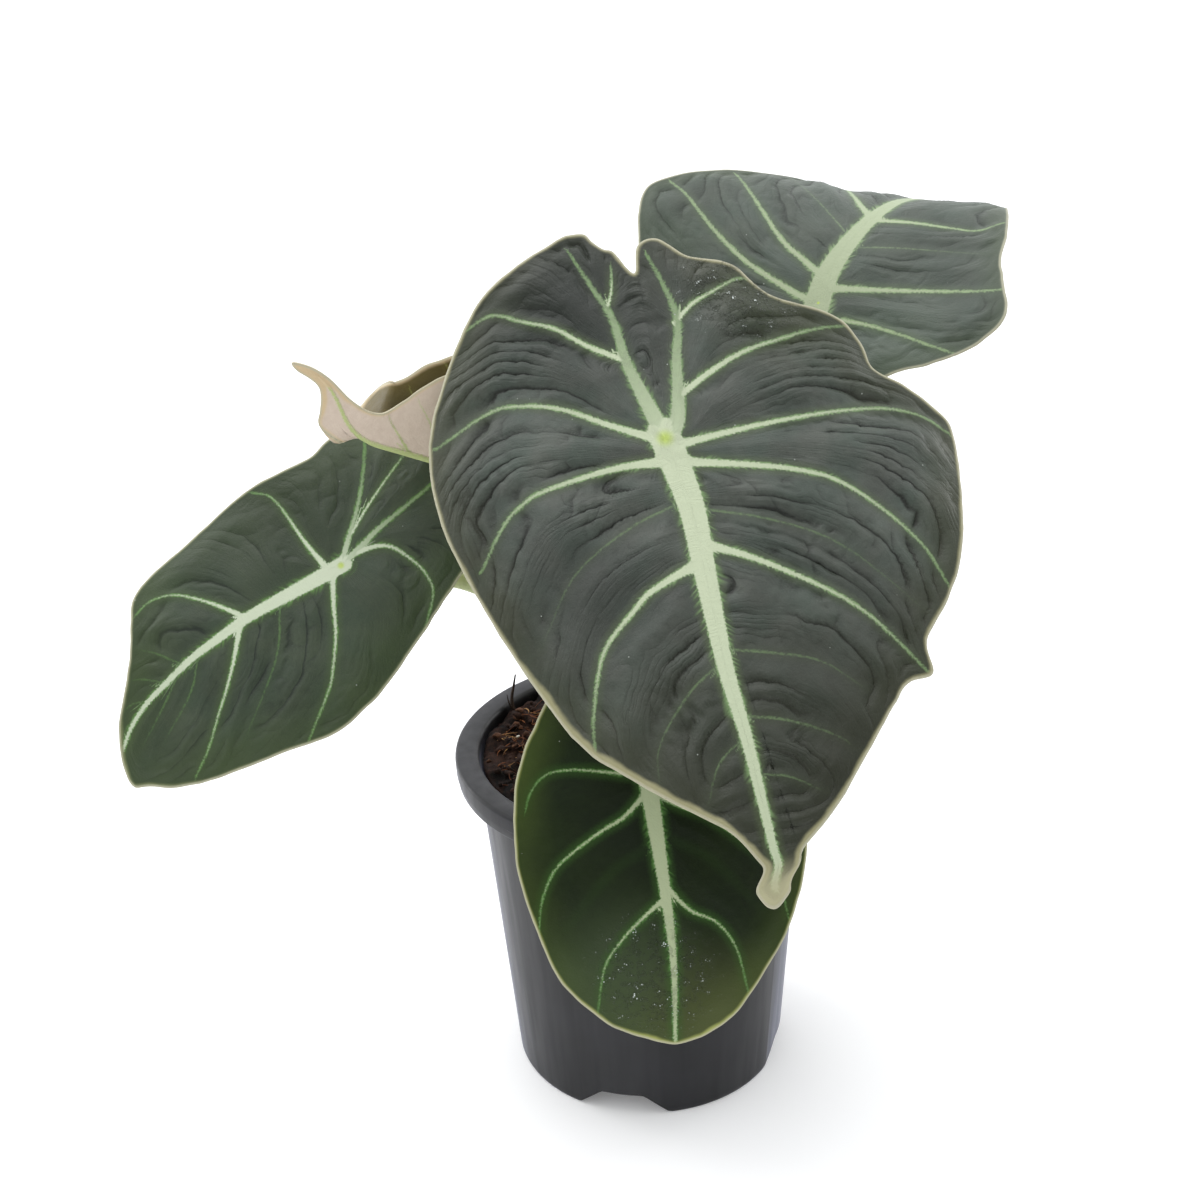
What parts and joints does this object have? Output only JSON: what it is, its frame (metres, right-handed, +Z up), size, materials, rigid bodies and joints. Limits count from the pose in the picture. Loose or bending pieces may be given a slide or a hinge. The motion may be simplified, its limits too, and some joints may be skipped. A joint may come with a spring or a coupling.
{
  "type": "potted alocasia black velvet",
  "caption": "Alocasia black velvet house plant: dark velvety heart-shaped leaves with pale veins on short stalks, standing in a round nursery pot filled with potting mix.",
  "frame": {"origin": "middle of the plant's bounds in plan, on the surface that the pot stands on", "axes": "+Z up, -Y towards the viewer; the large front leaf leans towards -Y, and the pot's axis stands 16.5 mm to the +X side and 0.6 mm to the -Y side of the origin"},
  "size_m": [0.2879, 0.2461, 0.279],
  "materials": {
    "pot_plastic": "satin",
    "potting_mix": "matte",
    "stem_tissue": "satin",
    "velvet_leaf": "matte",
    "young_leaf": "matte"
  },
  "bodies": {
    "root": {"pot": "pot_plastic", "potting_mix": "potting_mix", "stem": "stem_tissue", "leaf_front": "velvet_leaf", "leaf_back": "velvet_leaf", "leaf_left": "velvet_leaf", "leaf_young": "young_leaf", "leaf_low": "velvet_leaf"}
  },
  "joints": []
}
